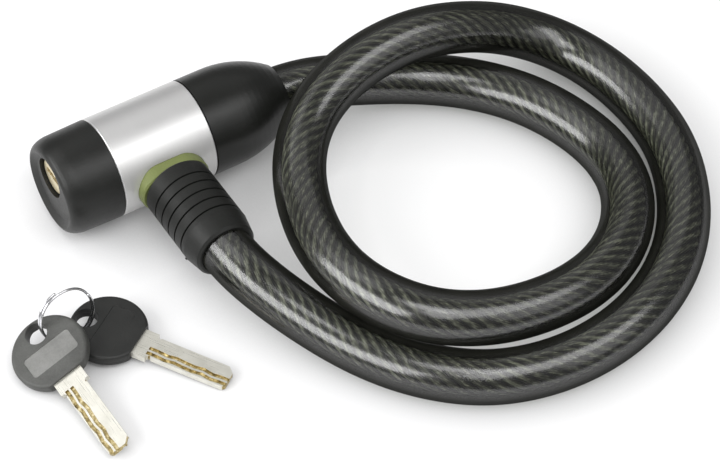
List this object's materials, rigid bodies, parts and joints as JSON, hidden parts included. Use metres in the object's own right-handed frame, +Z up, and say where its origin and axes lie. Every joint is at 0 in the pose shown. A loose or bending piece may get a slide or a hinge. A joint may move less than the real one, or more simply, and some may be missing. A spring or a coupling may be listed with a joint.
{
  "type": "cable lock",
  "caption": "Key-operated cable lock: barrel with a side socket, a bolt in a ribbed boot, a thick steel cable in a clear jacket laid in loops, and keys on a split ring",
  "frame": {"origin": "On the surface that the lock lies on, straight below the point where the barrel's axis and the bolt's axis cross", "axes": "+X runs along the barrel from its keyhole to its cable end, +Y is the way the bolt goes into the barrel, and +Z is up from the surface"},
  "size_m": [0.246, 0.1715, 0.0415],
  "materials": {
    "cap_plastic": "moulded, soft satin",
    "sleeve_aluminium": "satin, brushed round",
    "tail_plastic": "moulded, satin",
    "core_zinc": "die cast",
    "shell_brass": "turned",
    "pin_steel": "ground",
    "collar_green": "moulded, satin",
    "jacket_clear": "clear, smoky, glossy",
    "rope_steel": "stranded wire",
    "ferrule_steel": "turned",
    "plug_brass": "turned face, pale",
    "wafer_brass": "stamped",
    "spring_steel": "drawn",
    "latch_steel": "stamped",
    "bolt_steel": "polished plate",
    "boot_rubber": "matte",
    "ring_steel": "bright wire",
    "blade_nickel": "bright, milled tracks",
    "bow_plastic": "fine grained"
  },
  "bodies": {
    "lock": {"front_cap": "cap_plastic", "housing_sleeve": "sleeve_aluminium", "tail_cover": "tail_plastic", "lock_core": "core_zinc", "cylinder_shell": "shell_brass", "cylinder_pin": "pin_steel", "socket_collar": "collar_green", "tail_ferrule": "ferrule_steel", "tail_pin": "pin_steel", "cable_jacket": "jacket_clear", "cable_rope": "rope_steel", "lead_jacket": "jacket_clear", "lead_rope": "rope_steel"},
    "plug": {"cylinder_plug": "plug_brass", "track_wafers": "wafer_brass", "wafer_springs": "spring_steel", "plug_clip": "spring_steel"},
    "latch": {"latch_plate": "latch_steel"},
    "bolt_end": {"bolt": "bolt_steel", "bolt_pin": "pin_steel", "bolt_ferrule": "ferrule_steel", "bolt_boot": "boot_rubber"},
    "ring": {"key_ring": "ring_steel"},
    "key_a": {"key_a_blade": "blade_nickel", "key_a_bow": "bow_plastic"},
    "key_b": {"key_b_blade": "blade_nickel", "key_b_bow": "bow_plastic"}
  },
  "joints": [
    {"name": "plug_turn", "type": "hinge", "parent": "lock", "child": "plug", "pos_m": [-0.02, 0.0023, 0.0207], "axis": [-1, 0, 0], "range_deg": [0, 90]},
    {"name": "latch_throw", "type": "slide", "parent": "lock", "child": "latch", "axis": [0, 0, -1], "range_m": [0, 0.00212]},
    {"name": "bolt_slide", "type": "slide", "parent": "lock", "child": "bolt_end", "axis": [0, -1, 0], "range_m": [0, 0.03], "deforming": ["lead_jacket", "lead_rope"]},
    {"name": "keys_lift", "type": "slide", "parent": "lock", "child": "ring", "axis": [0, 0, 1], "range_m": [0, 0.1]},
    {"name": "key_a_round_ring", "type": "hinge", "parent": "ring", "child": "key_a", "pos_m": [-0.0549, -0.0452, 0.0101], "axis": [-0.0388, 0.9651, -0.2588], "range_deg": [0, 40]},
    {"name": "key_b_round_ring", "type": "hinge", "parent": "ring", "child": "key_b", "pos_m": [-0.0549, -0.0452, 0.0101], "axis": [0.0388, -0.9651, 0.2588], "range_deg": [0, 40]}
  ],
  "couplings": [
    {"joint": "plug_turn", "follows": "latch_throw", "rad_per_m": 740.9}
  ]
}
